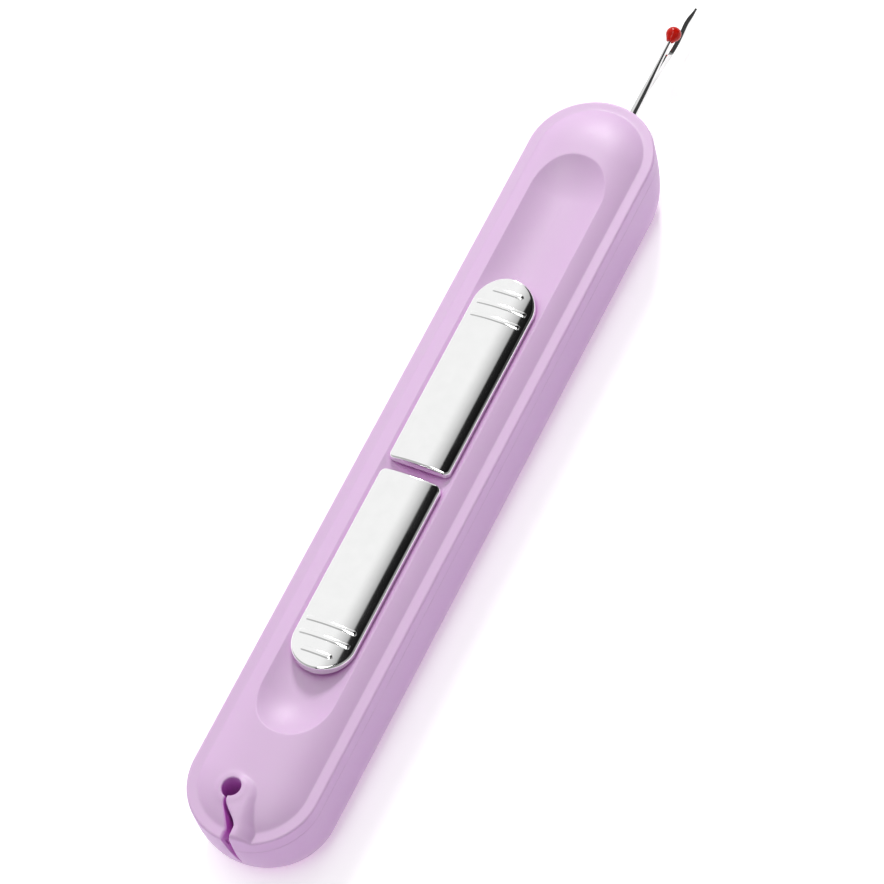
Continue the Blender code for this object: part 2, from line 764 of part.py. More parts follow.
def lower_slider():
    low, high = LOWER_NECK
    block = box((low - 2, high + 2), CARRIAGE_Y, (BLOCK_BOTTOM, BLOCK_TOP))
    neck = box((low, high), (-NECK_HALF, NECK_HALF), (BLOCK_TOP - 0.5, NECK_TOP))
    leg = box((low - 2, low + 2), CARRIAGE_Y, (LEG_FOOT, BLOCK_BOTTOM + 0.5))
    join(block, neck, leg)
    cut(block, lengthways_rod(low - 4, low + 4, ROD_RADIUS + GAP))
    slot_half = HOOK_THICKNESS / 2 + 0.1
    cut(block, box((low - 4, HOOK_TAIL_X + 0.2), (WELL_Y - slot_half, WELL_Y + slot_half),
                   (HOOK_HEIGHT - HOOK_SLOT, HOOK_HEIGHT + HOOK_SLOT)))
    cut(block, rod((low, WELL_Y - 1.2, HOOK_HEIGHT), (low, 5, HOOK_HEIGHT), HOOK_PIN_RADIUS + 0.1, 12))
    return keep(block, "lower_slider", "white_acetal")


def threader_hook():
    """A thin flat strip that narrows to a barbed needle-thin tip."""
    z = HOOK_HEIGHT
    low = LOWER_NECK[0]
    tip = HOOK_TIP_X
    points = [(HOOK_TAIL_X, z - 0.8), (HOOK_TAIL_X, z + 0.8), (low - 6, z + 0.8), (low - 8, z + 0.5)]
    points += [(tip + 7, z + 0.5), (tip + 5, z + 0.2), (tip + 1.6, z + 0.2), (tip + 1.2, z - 0.02)]
    points += [(tip + 0.9, z - 0.02), (tip + 0.6, z + 0.25), (tip, z + 0.1), (tip + 0.2, z - 0.2)]
    points += [(tip + 5, z - 0.25), (tip + 7, z - 0.5), (low - 8, z - 0.5), (low - 6, z - 0.8)]
    hook = standing(points, WELL_Y, HOOK_THICKNESS)
    cut(hook, rod((low, 0, z), (low, 4, z), HOOK_PIN_RADIUS + 0.1, 12))
    return keep(hook, "threader_hook", "polished_steel")


def hook_pin():
    low = LOWER_NECK[0]
    pin = rod((low, WELL_Y - 1.0, HOOK_HEIGHT), (low, CARRIAGE_Y[1] - 0.1, HOOK_HEIGHT), HOOK_PIN_RADIUS, 12)
    return keep(pin, "hook_pin", "polished_steel")


def hook_guide():
    guide = box(HOOK_GUIDE_X, HOOK_GUIDE_Y, HOOK_GUIDE_HEIGHTS)
    start, end = HOOK_GUIDE_X
    heights = (HOOK_HEIGHT - HOOK_SLOT + 0.05, HOOK_HEIGHT + HOOK_SLOT - 0.05)
    cut(guide, box((start - 1, end + 1), (WELL_Y - 0.5, WELL_Y + 0.5), heights))
    return keep(guide, "hook_guide", "white_acetal")


def return_spring():
    """A compression spring on the rod, from the carriage's leg to the tray's stop."""
    start = LOWER_NECK[0] - 2 - 0.4
    end = SPRING_STOP_X[1] + 0.4
    curve = bpy.data.curves.new("coil", "CURVE")
    curve.dimensions = "3D"
    curve.bevel_depth = SPRING_WIRE * MM
    curve.bevel_resolution = 1
    curve.use_fill_caps = True
    steps = SPRING_TURNS * 12
    spline = curve.splines.new("POLY")
    spline.points.add(steps)
    for step, point in enumerate(spline.points):
        angle = 2 * math.pi * step / 12
        x = start + (end - start) * step / steps
        y = SPRING_Y + SPRING_RADIUS * math.cos(angle)
        spot = place(x, y, SPRING_HEIGHT + SPRING_RADIUS * math.sin(angle))
        point.co = (*spot, 1.0)
    holder = bpy.data.objects.new("coil", curve)
    tools.objects.link(holder)
    bpy.context.view_layer.update()
    evaluated = holder.evaluated_get(bpy.context.evaluated_depsgraph_get())
    mesh = bpy.data.meshes.new_from_object(evaluated)
    bm = bmesh.new()
    bm.from_mesh(mesh)
    bmesh.ops.remove_doubles(bm, verts=bm.verts, dist=0.000001)
    bpy.data.objects.remove(holder, do_unlink=True)
    bpy.data.meshes.remove(mesh)
    coil = object_from(bm, "coil")
    smooth(coil, 60)
    return keep(coil, "return_spring", "spring_steel")


def spring_rod():
    return keep(lengthways_rod(*ROD_X, ROD_RADIUS), "spring_rod", "polished_steel")


# ---------------------------------------------------------------- tray, clip and screws

def mechanism_tray():
    bottom, top = TRAY_FLOOR
    end = TRAY_X[1]
    tray = box(TRAY_X, (-TRAY_HALF, TRAY_HALF), TRAY_FLOOR)
    nose = box(TRAY_NOSE_X, (-TRAY_NOSE_HALF, TRAY_NOSE_HALF), TRAY_FLOOR)
    xs = (TRAY_X[0] + 2.5, end)
    heights = (bottom, TRAY_WALL_TOP)
    walls = [box(xs, (side * (TRAY_HALF - 1), side * TRAY_HALF), heights) for side in (1, -1)]
    rail = box((RAIL_X, end), RAIL_Y, (bottom, RAIL_TOP))
    stop = box(SPRING_STOP_X, (SPRING_Y - 1.8, SPRING_Y + 1.8), (bottom, TRAY_WALL_TOP - 0.2))
    post = rod((PINION_X, 0, bottom), (PINION_X, 0, LARGE_GEAR_HEIGHTS[0] - GAP), GEAR_POST_RADIUS, 20)
    join(tray, nose, *walls, rail, stop, post)
    cut(tray, rod((PINION_X, 0, -13), (PINION_X, 0, -5), AXLE_RADIUS + 0.05))
    start = SPRING_STOP_X[0] + 0.2
    cut(tray, lengthways_rod(start, start + 3, ROD_RADIUS + 0.05))
    for x in (DETENT_BUMP_X, DETENT_BUMP_X + UPPER_TRAVEL):
        cut(tray, rod((x, TRAY_HALF - 1.05, -8), (x, TRAY_HALF - 1.05, -3), NOTCH_RADIUS, 12))
    return keep(tray, "mechanism_tray", "grey_nylon")


def axle_clip():
    """A thin ring pressed on the axle's groove over the pinion."""
    bottom, top = CLIP_HEIGHTS
    ring = rod((PINION_X, 0, bottom), (PINION_X, 0, top), CLIP_RADIUS)
    cut(ring, rod((PINION_X, 0, -5), (PINION_X, 0, -3), AXLE_RADIUS + 0.03))
    cut(ring, box((PINION_X, PINION_X + 3), (-0.4, 0.4), (-5, -3)))
    return keep(ring, "axle_clip", "spring_steel")


def shell_screw(number, x, y):
    """A flat-headed self-tapping screw with a hexagon recess, driven in from the back."""
    head_low, head_high = SCREW_HEAD_HEIGHTS
    recess_radius, recess_top = SCREW_RECESS
    screw = rod((x, y, head_low + 0.3), (x, y, SCREW_TOP), SCREW_RADIUS, 12)
    head = rod((x, y, head_low), (x, y, head_high), SCREW_HEAD_RADIUS, 20)
    recess = rod((x, y, -13.5), (x, y, recess_top), recess_radius, 6)
    join(screw, head)
    cut(screw, recess)
    return keep(screw, f"shell_screw_{number}", "polished_steel")


def build():
    front_shell()
    rear_shell()
    mechanism_tray()
    thumb_plate("upper_thumb_plate", UPPER_PLATE_INNER, 1)
    upper_slider()
    detent_spring()
    reversing_pinion()
    pinion_axle()
    axle_clip()
    ripper_rack()
    ripper_blade()
    ripper_ball()
    ripper_cross_pin()
    ripper_guide()
    thumb_plate("lower_thumb_plate", LOWER_PLATE_INNER, -1)
    lower_slider()
    threader_hook()
    hook_pin()
    hook_guide()
    return_spring()
    spring_rod()
    for number, (x, y) in enumerate(SCREWS, 1):
        shell_screw(number, x, y)


clear_scene()
product = new_collection("needle_threader")
tools = new_collection("cutters")
materials = make_materials()
build()
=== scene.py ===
"""Looks of the needle threader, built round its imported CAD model.

Places are in millimetres.  x and y are the CAD frame's, and heights z count from the ledge, the flat
band round the face.  place() turns them into metres above the flat back.
"""

import json
import math

import bmesh
import bpy
import numpy as np
from mathutils import Matrix, Vector

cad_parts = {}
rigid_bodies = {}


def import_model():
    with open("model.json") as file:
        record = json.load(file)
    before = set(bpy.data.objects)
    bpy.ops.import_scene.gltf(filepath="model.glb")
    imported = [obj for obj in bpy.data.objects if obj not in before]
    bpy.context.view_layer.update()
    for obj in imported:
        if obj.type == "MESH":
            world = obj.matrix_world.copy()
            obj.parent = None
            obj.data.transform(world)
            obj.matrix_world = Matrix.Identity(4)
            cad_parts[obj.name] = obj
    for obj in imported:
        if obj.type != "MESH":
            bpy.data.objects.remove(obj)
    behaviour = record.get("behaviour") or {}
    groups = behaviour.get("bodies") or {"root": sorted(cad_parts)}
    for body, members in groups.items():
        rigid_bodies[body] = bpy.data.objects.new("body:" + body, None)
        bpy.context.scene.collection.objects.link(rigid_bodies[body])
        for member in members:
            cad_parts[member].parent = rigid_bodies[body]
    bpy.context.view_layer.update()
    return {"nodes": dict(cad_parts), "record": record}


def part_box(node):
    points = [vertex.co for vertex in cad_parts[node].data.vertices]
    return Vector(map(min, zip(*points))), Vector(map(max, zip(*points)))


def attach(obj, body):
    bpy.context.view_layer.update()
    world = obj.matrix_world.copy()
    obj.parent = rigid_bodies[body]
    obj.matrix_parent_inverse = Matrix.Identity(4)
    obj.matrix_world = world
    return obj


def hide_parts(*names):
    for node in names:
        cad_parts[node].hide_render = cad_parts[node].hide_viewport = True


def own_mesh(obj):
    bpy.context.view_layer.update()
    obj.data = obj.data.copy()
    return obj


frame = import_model()

MM = 0.001


def corners(node):
    low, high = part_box(node)
    return [value / MM for value in low], [value / MM for value in high]


# ---------------------------------------------------------------- sizes read from the frame

HALF_LENGTH, HALF_WIDTH, _ = corners("front_shell")[1]
PLATE_LOW, PLATE_HIGH = corners("upper_thumb_plate")
LOWER_PLATE_INNER = corners("lower_thumb_plate")[1][0]

LEDGE_HEIGHT = 13.0
SPINE = HALF_LENGTH - HALF_WIDTH

# ---------------------------------------------------------------- shapes of the shells

PARTING = -2.55
PARTING_GAP = 0.03
PARTING_ROUND = 0.03
EDGE_ROUND = 0.35
BOSS_EDGE_ROUND = 0.75
WALL = 1.4
CEILING = -1.65
LIP_OUT = 9.2
LIP_TOP = -1.75
LIP_GAP = 0.15
SIDE_ROUND_START = 7.5
SIDE_INSET = 1.9
END_INSET = 4.0

CROWN_RADIUS = 8.3
CROWN_HEIGHT = 1.85
CROWN_POWER = 2.7
FOOT_SOFTNESS = 0.08
CHANNEL_HALF = 5.82
CHANNEL_EDGE = 1.15
CHANNEL_DEPTH = 1.42
CHANNEL_ENDS = (-47.3, 53.4)
CHANNEL_SOFTNESS = 0.05

WELL_X = -58.6
WELL_Y = 2.0
WELL_RADIUS = 1.5
WELL_WALL = 1.1
WELL_FLOOR = -9.2
WELL_FOOT = -10.3
WELL_RIM = 0.22
COLLAR_HEIGHT = 0.14
COLLAR_RADIUS = 2.0
COLLAR_WIDTH = 0.55
HOOK_HEIGHT = -6.5
HOOK_WINDOW = (0.8, 0.9)

SLIT_START_X = -60.4
SLIT_RUN = 3.7
SLIT_FIRST_Y = 1.72
SLIT_DROP = 2.8
SLIT_WIDTHS = (0.6, 1.5)
SLIT_BOTTOM = -7.4
SLIT_RIM = 0.16
SLIT_FLARE = (0.3, 0.5)
SLIT_END_X = -68.0
SLIT_POSTS = ((-61.5, 1.1), (-63.0, -0.5))
SLIT_POST_RADIUS = 1.5
SLIT_POST_FOOT = -5.2

BOSS_TOP = (1.8, 2.15)
BOSS_SHOULDER = (0.5, 1.5)
BOSS_FALL = (0.15, 0.28)
BOSS_FADE = (0.45, 1.0)
BOSS_RIDGE = ((-64.0, -1.05), (-59.3, 0.68))
BOSS_RISE = (-64.0, 4.5)
BOSS_WIDENING = (-64.6, 4.6)
BOSS_RIM_TURN = (180, 345)
BOSS_FADE_TURN = 250
BOSS_SOFTNESS = 0.07
BOSS_BACK_SLOPE = 8.0
BOSS_REGION_X = -52.0

SCREWS = ((56.5, 5.4), (56.5, -5.4), (-50.5, 5.6), (-50.5, -5.6))
SCREW_RADIUS = 0.8
SCREW_HEAD_RADIUS = 1.7
POST_RADIUS = 2.0
POST_FOOT = -8.0
SCREW_TOP = -3.4
EXIT_HALF = 1.45
EXIT_HEIGHTS = (-11.7, -5.3)
SLOT_HALF = 1.45
SLOTS = ((-1.3, 24.2), (-32.6, -15.7))

ARC_STEPS = 220
STRAIGHT_STEPS = 60

# ---------------------------------------------------------------- mesh helpers

tools = bpy.data.collections.new("cutters")
bpy.context.scene.collection.children.link(tools)
product = bpy.data.collections.new("needle_threader_looks")
bpy.context.scene.collection.children.link(product)


def place(x, y, z):
    return Vector((x * MM, y * MM, (z + LEDGE_HEIGHT) * MM))


def points_at(x, y, z):
    """Rows of metres from arrays of millimetres."""
    x, y, z = np.broadcast_arrays(x, y, z)
    return np.stack([x * MM, y * MM, (z + LEDGE_HEIGHT) * MM], axis=-1)


def object_from(bm, name):
    bmesh.ops.recalc_face_normals(bm, faces=bm.faces)
    mesh = bpy.data.meshes.new(name)
    bm.to_mesh(mesh)
    bm.free()
    obj = bpy.data.objects.new(name, mesh)
    tools.objects.link(obj)
    return obj


def loft(rings, name="loft"):
    """A closed solid through rings of the same number of points, capped at both ends."""
    bm = bmesh.new()
    rows = [[bm.verts.new(point) for point in ring] for ring in rings]
    count = len(rows[0])
    for lower, upper in zip(rows, rows[1:]):
        for i in range(count):
            j = (i + 1) % count
            bm.faces.new((lower[i], lower[j], upper[j], upper[i]))
    bm.faces.new(list(reversed(rows[0])))
    bm.faces.new(rows[-1])
    return object_from(bm, name)


def box(xs, ys, zs):
    bm = bmesh.new()
    bmesh.ops.create_cube(bm, size=1.0)
    low = place(min(xs), min(ys), min(zs))
    high = place(max(xs), max(ys), max(zs))
    matrix = Matrix.Translation((low + high) / 2) @ Matrix.Diagonal((*(high - low), 1.0))
    bmesh.ops.transform(bm, matrix=matrix, verts=bm.verts)
    return object_from(bm, "box")


def rod(start, end, radius, sides=48):
    a = place(*start)
    b = place(*end)
    bm = bmesh.new()
    bmesh.ops.create_cone(bm, cap_ends=True, segments=sides, radius1=radius * MM, radius2=radius * MM,
                          depth=(b - a).length)
    turn = Vector((0, 0, 1)).rotation_difference(b - a).to_matrix().to_4x4()
    bmesh.ops.transform(bm, matrix=Matrix.Translation((a + b) / 2) @ turn, verts=bm.verts)
    return object_from(bm, "rod")


def boolean(target, tool, operation):
    modifier = target.modifiers.new(operation.title(), "BOOLEAN")
    modifier.operation = operation
    modifier.solver = "EXACT"
    modifier.object = tool


def cut(target, *cutters):
    for cutter in cutters:
        boolean(target, cutter, "DIFFERENCE")


def join(target, *others):
    for other in others:
        boolean(target, other, "UNION")


def settle(obj):
    """Applies an object's modifiers to its mesh."""
    bpy.context.view_layer.update()
    evaluated = obj.evaluated_get(bpy.context.evaluated_depsgraph_get())
    mesh = bpy.data.meshes.new_from_object(evaluated)
    obj.modifiers.clear()
    obj.data = mesh
    return obj


def clean(obj, merge=0.000002):
    """Merges the slivers that a Boolean leaves."""
    bm = bmesh.new()
    bm.from_mesh(obj.data)
    bmesh.ops.remove_doubles(bm, verts=bm.verts, dist=merge)
    bmesh.ops.dissolve_degenerate(bm, edges=bm.edges, dist=merge)
    bm.to_mesh(obj.data)
    bm.free()


def finished(obj, name, material, slot, body, *nodes, sharp=32):
    """Settles a piece, names it, gives it its material, attaches it to its body and hides the CAD nodes it stands
    for. The slot is not used.
    """
    settle(obj)
    clean(obj)
    tools.objects.unlink(obj)
    product.objects.link(obj)
    obj.name = name
    obj.data.name = name
    obj.data.shade_smooth()
    obj.data.set_sharp_from_angle(angle=math.radians(sharp))
    obj.data.materials.clear()
    obj.data.materials.append(material)
    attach(obj, body)
    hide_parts(*nodes)
    return obj


# ---------------------------------------------------------------- smooth steps and blends

def smoothstep(value):
    value = np.clip(value, 0.0, 1.0)
    return value * value * (3 - 2 * value)


def higher(a, b, softness):
    """The larger of two heights, with the crease between them rounded."""
    return 0.5 * (a + b + np.sqrt((a - b) ** 2 + softness ** 2))


def lower(a, b, softness):
    return -higher(-a, -b, softness)


# ---------------------------------------------------------------- height of the face

def spine_distance(x, y, low, high):
    """Distance in plan from a stretch of the middle line."""
    past = np.maximum(np.maximum(low - x, x - high), 0.0)
    return np.hypot(past, y)


def slit_edge_y(x):
    """The slit's edge on the boss's side, in plan."""
    return SLIT_FIRST_Y - SLIT_DROP * smoothstep((SLIT_START_X - x) / SLIT_RUN)


def between(low, high, share):
    return low + (high - low) * share


def boss_height(x, y):
    """The boss beside the slit: nearly level by the slit, the well's rim and a straight ridge, then rounding down.

    Its shoulder is broad next to the well and narrows towards the end wall.
    """
    slit_x = np.linspace(SLIT_END_X, SLIT_START_X, 90)
    turn = np.linspace(*BOSS_RIM_TURN, 50)
    fade = smoothstep((turn - BOSS_FADE_TURN) / (BOSS_RIM_TURN[1] - BOSS_FADE_TURN))
    share = np.linspace(0, 1, 40)
    start, end = BOSS_RIDGE
    rise_start, rise = BOSS_RISE
    tops = [between(*BOSS_TOP, smoothstep((slit_x - rise_start) / rise)),
            BOSS_TOP[1] - BOSS_FADE[0] * fade,
            between(*BOSS_TOP, smoothstep(share * 1.2))]
    rim_x = WELL_X + WELL_RADIUS * np.cos(np.radians(turn))
    rim_y = WELL_Y + WELL_RADIUS * np.sin(np.radians(turn))
    edge_x = [slit_x, rim_x, between(start[0], end[0], share)]
    edge_y = [slit_edge_y(slit_x), rim_y, between(start[1], end[1], share)]
    widening_start, widening = BOSS_WIDENING
    shoulders = [between(*BOSS_SHOULDER, smoothstep((slit_x - widening_start) / widening)),
                 between(*BOSS_SHOULDER, smoothstep((rim_x - widening_start) / widening)) - BOSS_FADE[1] * fade,
                 between(*BOSS_SHOULDER, share)]
    slope, curve = BOSS_FALL
    height = np.full(x.shape, -9.0)
    spots = [np.concatenate(parts) for parts in (edge_x, edge_y, tops, shoulders)]
    for px, py, top, shoulder in zip(*spots):
        past = np.maximum(np.hypot(x - px, y - py) - shoulder, 0.0)
        height = np.maximum(height, top - slope * past - curve * past ** 2)
    past_slit = np.maximum(y - np.where(x < SLIT_START_X, slit_edge_y(x), WELL_Y), 0.0)
    return height - BOSS_BACK_SLOPE * past_slit


def face_height(x, y):
    """Height of the front shell's outside over the plan, without its edge rounding."""
    x = np.asarray(x, dtype=float)
    y = np.asarray(y, dtype=float)
    radius = spine_distance(x, y, -SPINE, SPINE)
    crown = CROWN_HEIGHT * (1 - (radius / CROWN_RADIUS) ** CROWN_POWER)
    height = higher(crown, np.zeros_like(crown), FOOT_SOFTNESS) - 0.5 * FOOT_SOFTNESS ** 2 / (radius + 1)
    low, high = CHANNEL_ENDS
    channel_radius = spine_distance(x, y, low + CHANNEL_HALF, high - CHANNEL_HALF)
    channel = CHANNEL_EDGE - CHANNEL_DEPTH * (1 - (channel_radius / CHANNEL_HALF) ** 2)
    height = lower(height, channel, CHANNEL_SOFTNESS)
    near = x < BOSS_REGION_X
    if near.any():
        boss = boss_height(x[near], y[near])
        raised = higher(height[near], boss, BOSS_SOFTNESS)
        from_hole = np.hypot(x[near] - WELL_X, y[near] - WELL_Y)
        raised += COLLAR_HEIGHT * np.exp(-np.maximum(from_hole - COLLAR_RADIUS, 0.0) ** 2 / COLLAR_WIDTH ** 2)
        height[near] = raised
    return height


# ---------------------------------------------------------------- rings round the body

def ring_directions():
    """One direction for each point of a ring, with the end it belongs to: +1, -1 or a stretch between."""
    arc = np.linspace(-math.pi / 2, math.pi / 2, ARC_STEPS + 1)
    stretch = np.linspace(1, -1, STRAIGHT_STEPS + 1)[1:-1]
    angles = np.concatenate([arc, np.full(stretch.size, math.pi / 2), arc + math.pi,
                             np.full(stretch.size, 1.5 * math.pi)])
    ends = np.concatenate([np.ones(arc.size), stretch, -np.ones(arc.size), -stretch])
    return angles, ends


ANGLES, ENDS = ring_directions()


def stadium(radius, low=-SPINE, high=SPINE):
    """Plan of a ring: half-rounds of one radius about two points of the middle line, and straight sides."""
    centre = (low + high) / 2 + ENDS * (high - low) / 2
    return centre + radius * np.cos(ANGLES), radius * np.sin(ANGLES)


def flat_ring(radius, z, low=-SPINE, high=SPINE):
    x, y = stadium(radius, low, high)
    return points_at(x, y, z)


def channel_edge():
    """Where the channel's dish meets the crown, found by bisection along each direction."""
    low, high = CHANNEL_ENDS
    near = np.full(ANGLES.size, 3.0)
    far = np.full(ANGLES.size, 8.2)
    for _ in range(40):
        middle = (near + far) / 2
        x, y = stadium(middle, low + CHANNEL_HALF, high - CHANNEL_HALF)
        crown = CROWN_HEIGHT * (1 - (spine_distance(x, y, -SPINE, SPINE) / CROWN_RADIUS) ** CROWN_POWER)
        dish = CHANNEL_EDGE - CHANNEL_DEPTH * (1 - (middle / CHANNEL_HALF) ** 2)
        below = dish < crown
        near = np.where(below, middle, near)
        far = np.where(below, far, middle)
    return (near + far) / 2


def face_rings():
    """Rings from the parting line up the wall, over the ledge and crown, and down into the channel."""
    rings = [flat_ring(HALF_WIDTH - PARTING_ROUND, PARTING + PARTING_GAP / 2),
             flat_ring(HALF_WIDTH, PARTING + PARTING_GAP / 2 + PARTING_ROUND)]
    edge_x, edge_y = stadium(HALF_WIDTH - EDGE_ROUND)
    raised = np.clip(face_height(edge_x, edge_y) / BOSS_TOP[0], 0, 1)
    rounding = EDGE_ROUND + (BOSS_EDGE_ROUND - EDGE_ROUND) * raised
    x, y = stadium(HALF_WIDTH - rounding)
    wall_top = face_height(x, y) - rounding
    bottom = PARTING + PARTING_GAP / 2 + PARTING_ROUND
    x, y = stadium(HALF_WIDTH)
    for step in range(1, 9):
        rings.append(points_at(x, y, bottom + (wall_top - bottom) * step / 9))
    for step in range(9):
        turn = math.pi / 2 * step / 8
        inset = rounding * (1 - math.cos(turn))
        x, y = stadium(HALF_WIDTH - inset)
        top_x, top_y = stadium(HALF_WIDTH - rounding)
        rings.append(points_at(x, y, face_height(top_x, top_y) - rounding * (1 - math.sin(turn))))
    for step in range(1, 9):
        radius = (HALF_WIDTH - rounding) + (CROWN_RADIUS + 0.1 - HALF_WIDTH + rounding) * step / 8
        x, y = stadium(radius)
        rings.append(points_at(x, y, face_height(x, y)))
    outer_x, outer_y = stadium(CROWN_RADIUS + 0.1)
    low, high = CHANNEL_ENDS
    edge = channel_edge()
    edge_x, edge_y = stadium(edge + 0.25, low + CHANNEL_HALF, high - CHANNEL_HALF)
    for step in range(1, 81):
        share = step / 80
        x = outer_x + (edge_x - outer_x) * share
        y = outer_y + (edge_y - outer_y) * share
        rings.append(points_at(x, y, face_height(x, y)))
    inner_radii = [edge + 0.25 - 0.05 * step for step in range(1, 11)]
    start = edge - 0.25
    inner_radii += [start + (0.3 - start) * step / 26 for step in range(1, 27)]
    for radius in inner_radii:
        x, y = stadium(radius, low + CHANNEL_HALF, high - CHANNEL_HALF)
        rings.append(points_at(x, y, face_height(x, y)))
    return rings


# ---------------------------------------------------------------- cutters that follow the face

RIM_ANGLES = (0, 15, 30, 45, 60, 74)


def rimmed_cutter(plan, normals, rims, foot_plan, foot_z):
    """A cutter with upright walls whose mouth flares into a rounded rim that follows the face.

    plan and normals are arrays of (x, y), rims is each point's rim radius, and foot_plan is the outline at
    the cutter's foot.
    """
    rings = [points_at(foot_plan[:, 0], foot_plan[:, 1], foot_z)]
    for share in (0.35, 0.7, 0.9):
        outline = foot_plan + (plan - foot_plan) * share
        top = face_height(plan[:, 0], plan[:, 1]) - rims
        rings.append(points_at(outline[:, 0], outline[:, 1], foot_z + (top - foot_z) * share))
    for degrees in RIM_ANGLES:
        turn = math.radians(degrees)
        spot = plan + normals * (rims * (1 - math.cos(turn)))[:, None]
        mouth = plan + normals * rims[:, None]
        height = face_height(mouth[:, 0], mouth[:, 1]) * (1 - math.cos(turn))
        height += face_height(spot[:, 0], spot[:, 1]) * math.cos(turn)
        rings.append(points_at(spot[:, 0], spot[:, 1], height - rims * (1 - math.sin(turn))))
    rings.append(points_at(spot[:, 0], spot[:, 1], 5.0))
    return loft(rings, "rimmed_cutter")


def well_cutter():
    angles = np.linspace(0, 2 * math.pi, 97)[:-1]
    normals = np.stack([np.cos(angles), np.sin(angles)], axis=-1)
    plan = np.array([WELL_X, WELL_Y]) + WELL_RADIUS * normals
    return rimmed_cutter(plan, normals, np.full(96, WELL_RIM), plan, WELL_FLOOR)


def slit_cutter():
    """The wavy slit: a steady edge towards the boss, a flared one away from it, and a narrow foot."""
    x = np.linspace(WELL_X - 0.9, WELL_X - 9.4, 90)
    edge_y = slit_edge_y(x)
    slope = np.gradient(edge_y, x)
    across = np.stack([-slope, np.ones_like(slope)], axis=-1)
    across /= np.linalg.norm(across, axis=1)[:, None]
    outer_part = smoothstep((SLIT_START_X - 0.6 - x) / 3.0)
    width = SLIT_WIDTHS[0] + (SLIT_WIDTHS[1] - SLIT_WIDTHS[0]) * outer_part
    flare = SLIT_FLARE[0] + (SLIT_FLARE[1] - SLIT_FLARE[0]) * outer_part
    right = np.stack([x, edge_y], axis=-1)
    left = right + across * width[:, None]
    plan = np.concatenate([left, right[::-1]])
    normals = np.concatenate([across, -across[::-1]])
    rims = np.concatenate([flare, np.full(x.size, SLIT_RIM)])
    foot = np.concatenate([right + across * 0.06, right[::-1]])
    return rimmed_cutter(plan, normals, rims, foot, SLIT_BOTTOM)


# ---------------------------------------------------------------- front shell

def front_shell(material):
    shell = loft(face_rings(), "front_shell_outside")
    inner = HALF_WIDTH - WALL
    lip = LIP_OUT + LIP_GAP
    cavity = loft([flat_ring(inner, -5), flat_ring(inner, CEILING)])
    lip_room = loft([flat_ring(lip, -5), flat_ring(lip, LIP_TOP + LIP_GAP)])
    cut(shell, cavity, lip_room)
    join(shell, rod((WELL_X, WELL_Y, WELL_FOOT), (WELL_X, WELL_Y, -1), WELL_RADIUS + WELL_WALL))
    # thick posts under the face, so that the slit is a deep channel with walls
    for x, y in SLIT_POSTS:
        join(shell, rod((x, y, SLIT_POST_FOOT), (x, y, -1.0), SLIT_POST_RADIUS))
    for x, y in SCREWS:
        join(shell, rod((x, y, POST_FOOT), (x, y, -1.0), POST_RADIUS, 32))
        cut(shell, rod((x, y, POST_FOOT - 1), (x, y, SCREW_TOP + 0.5), SCREW_RADIUS + 0.25, 24))
    for low, high in SLOTS:
        cut(shell, box((low, high), (-SLOT_HALF, SLOT_HALF), (CEILING - 1, 4)))
    half_y, half_z = HOOK_WINDOW
    hook_window = box((WELL_X - 5, WELL_X + 5), (WELL_Y - half_y, WELL_Y + half_y),
                      (HOOK_HEIGHT - half_z, HOOK_HEIGHT + half_z))
    cut(shell, well_cutter(), slit_cutter(), hook_window)
    return finished(shell, "front_shell_skin", material, "lilac_plastic", "body", "front_shell")


# ---------------------------------------------------------------- rear shell

def inset_at(depth):
    """How far the side wall and the end wall have turned in, this far below the ledge."""
    side = 0.0
    if depth > SIDE_ROUND_START:
        turned = (depth - SIDE_ROUND_START) / (LEDGE_HEIGHT - SIDE_ROUND_START)
        side = SIDE_INSET * (1 - math.sqrt(max(0.0, 1 - turned * turned)))
    turned = max(0.0, (depth + PARTING) / (LEDGE_HEIGHT + PARTING))
    end = END_INSET * (1 - math.sqrt(max(0.0, 1 - turned * turned)))
    return side, end


def wall_ring(depth, thickness=0.0):
    side, end = inset_at(depth)
    radius = HALF_WIDTH - thickness - side
    reach = HALF_LENGTH - thickness - end - radius
    return flat_ring(radius, -depth, -reach, reach)


def rear_shell(material):
    top = PARTING - PARTING_GAP / 2
    rings = [flat_ring(LIP_OUT, LIP_TOP), flat_ring(LIP_OUT, top), flat_ring(HALF_WIDTH - PARTING_ROUND, top)]
    for step in range(31):
        share = math.sin(math.pi / 2 * step / 30)
        rings.append(wall_ring(-top + PARTING_ROUND + (LEDGE_HEIGHT + top - PARTING_ROUND) * share))
    shell = loft(rings, "rear_shell_outside")
    floor = LEDGE_HEIGHT - WALL
    hollow = [flat_ring(HALF_WIDTH - WALL, 0.0)]
    for step in range(17):
        depth = -PARTING + (floor + PARTING) * math.sin(math.pi / 2 * step / 16)
        hollow.append(wall_ring(depth, WALL))
    cut(shell, loft(hollow))
    for x, y in SCREWS:
        join(shell, rod((x, y, -12.4), (x, y, POST_FOOT - 0.2), POST_RADIUS + 0.1, 32))
        cut(shell, rod((x, y, -14), (x, y, POST_FOOT + 1), SCREW_RADIUS + 0.25, 24))
        cut(shell, rod((x, y, -14), (x, y, -11.3), SCREW_HEAD_RADIUS + 0.2, 40))
    low, high = EXIT_HEIGHTS
    exit_slot = box((61, 68), (-EXIT_HALF, EXIT_HALF), (low + EXIT_HALF, high - EXIT_HALF))
    for height in (low + EXIT_HALF, high - EXIT_HALF):
        join(exit_slot, rod((60.9, 0, height), (68.1, 0, height), EXIT_HALF, 48))
    cut(shell, exit_slot, slit_cutter())
    return finished(shell, "rear_shell_skin", material, "lilac_plastic", "body", "rear_shell")


# ---------------------------------------------------------------- thumb plates

